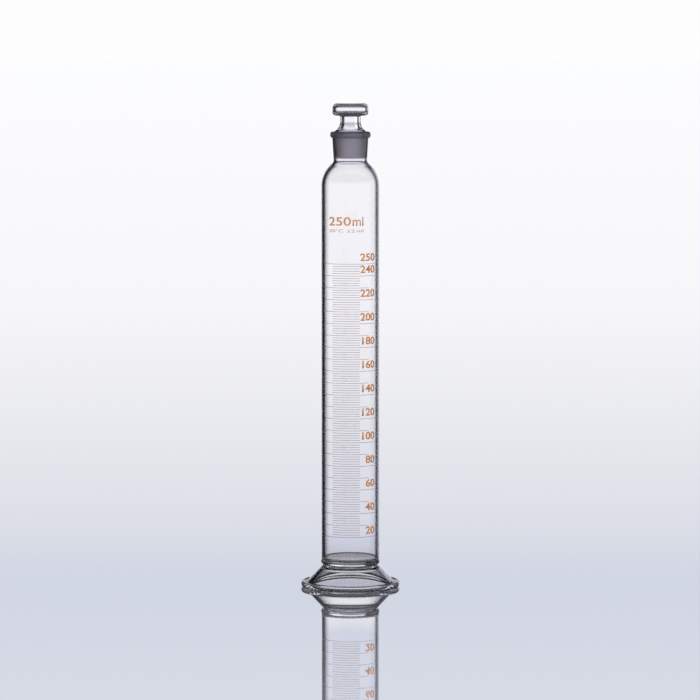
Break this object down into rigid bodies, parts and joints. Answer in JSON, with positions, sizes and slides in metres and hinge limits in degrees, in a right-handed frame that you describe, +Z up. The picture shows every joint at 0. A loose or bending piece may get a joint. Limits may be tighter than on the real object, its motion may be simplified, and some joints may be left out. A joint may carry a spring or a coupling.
{
  "type": "stoppered measuring cylinder",
  "caption": "Tall round glass measuring cylinder with a printed volume scale, domed shoulder, ground conical socket with a hollow stopper, and a flared foot; measures, mixes and keeps liquid.",
  "frame": {"origin": "centre of the foot, on the surface that the cylinder stands on", "axes": "+Z up along the glass axis; the printed scale faces -Y, so +X is to the right of someone reading it"},
  "size_m": [0.073, 0.073, 0.3559],
  "materials": {
    "clear_glass": "clear, ground inside the socket",
    "stopper_glass": "clear grip and stem, ground cone",
    "enamel": "fired print, pale orange"
  },
  "bodies": {
    "root": {"cylinder": "clear_glass", "stopper": "stopper_glass", "graduations": "enamel"}
  },
  "joints": []
}
